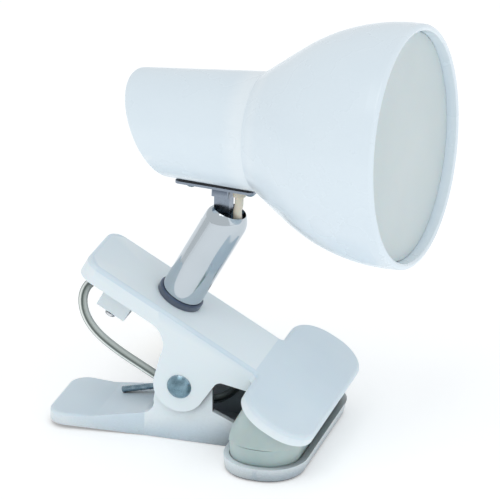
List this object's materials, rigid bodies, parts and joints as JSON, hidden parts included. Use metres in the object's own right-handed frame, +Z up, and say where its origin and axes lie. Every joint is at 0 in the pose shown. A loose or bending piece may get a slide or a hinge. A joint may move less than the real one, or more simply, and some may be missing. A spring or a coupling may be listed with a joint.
{
  "type": "clip-on reading lamp",
  "caption": "Clip-on reading lamp: bell-shaped shade with a flat frosted light on a chromed swivel post, held by a sprung clamp with soft jaw pads and a mains cord.",
  "frame": {"origin": "centre of the lamp's footprint box, on the surface it stands on", "axes": "+Z up, +X towards the shade's light, +Y across the clip towards its far side"},
  "size_m": [0.1414, 0.1307, 0.1664],
  "materials": {
    "enamel": "white gloss enamel, faintly blue",
    "arm_plastic": "white moulded plastic, satin gloss",
    "grip": "soft translucent grey-green grip",
    "chrome": "polished chrome",
    "zinc": "bright zinc plate",
    "steel": "plain steel",
    "spring_steel": "bright drawn wire",
    "black_plastic": "black moulded plastic",
    "gasket": "dark fibre gasket",
    "cream_plastic": "cream moulded plastic",
    "clear_cord": "clear sheath over dark conductors",
    "diffuser": "frosted translucent sheet",
    "aluminium": "pressed sheet",
    "reflector": "white reflective moulding",
    "board": "green lacquered laminate",
    "chip": "phosphor over a white package",
    "brass": "turned brass",
    "component": "dark sleeve",
    "tie": "thin pale strap"
  },
  "bodies": {
    "lower_arm": {"lower_arm": "arm_plastic", "lower_pad": "grip", "pivot_rivet": "zinc", "rivet_washer": "zinc", "torsion_spring": "spring_steel", "mains_cord": "clear_cord", "cord_coil": "clear_cord", "coil_tie": "tie", "plug_cord": "clear_cord", "plug_body": "black_plastic", "plug_pins": "brass"},
    "upper_arm": {"upper_arm": "arm_plastic", "upper_pad": "grip", "cord_grip": "arm_plastic", "cord_grip_screws": "zinc", "base_ring": "black_plastic", "stem_washer": "zinc", "arm_lead": "clear_cord"},
    "arm_tube": {"arm_tube": "chrome", "stem_nipple": "brass", "stem_nut": "zinc", "tube_insert": "brass", "hinge_fork": "zinc", "hinge_bolt": "steel", "hinge_nut": "steel", "hinge_washers": "steel", "tube_lead": "cream_plastic"},
    "head": {"knuckle": "zinc", "bracket_plate": "zinc", "bracket_gasket": "gasket", "bracket_screws": "zinc", "nut_plate": "steel", "knuckle_nut": "zinc", "lead_bushing": "cream_plastic", "neck_lead": "cream_plastic", "rear_housing": "enamel", "shade": "enamel", "diffuser": "diffuser", "reflector": "reflector", "led_board": "board", "led_chips": "chip", "heat_sink": "aluminium", "board_screws": "steel", "driver_board": "board", "driver_screws": "steel", "driver_capacitor": "component", "driver_transformer": "component", "driver_terminal": "board", "led_leads": "component", "head_lead": "cream_plastic", "switch_body": "black_plastic", "switch_nut": "steel"},
    "switch_button": {"switch_button": "black_plastic"}
  },
  "joints": [
    {"name": "clip_hinge", "type": "hinge", "parent": "lower_arm", "child": "upper_arm", "pos_m": [-0.01892, 0.00364, 0.0227], "axis": [0, -1, 0], "range_deg": [0, 36], "stiffness_Nm_per_rad": 1.5, "springref_deg": -28.65, "deforming": ["torsion_spring", "mains_cord"]},
    {"name": "post_swivel", "type": "hinge", "parent": "upper_arm", "child": "arm_tube", "pos_m": [-0.02398, 0.00364, 0.0515], "axis": [0.4817, 0, 0.8763], "range_deg": [-170, 170]},
    {"name": "head_tilt", "type": "hinge", "parent": "arm_tube", "child": "head", "pos_m": [-0.00736, 0.00364, 0.08173], "axis": [-0.1053, -0.9928, 0.0579], "range_deg": [-31.7, 43], "deforming": ["neck_lead"]},
    {"name": "switch_push", "type": "slide", "parent": "head", "child": "switch_button", "axis": [0.904, -0.0713, 0.4215], "range_m": [0, 0.002], "stiffness_N_per_m": 400}
  ]
}
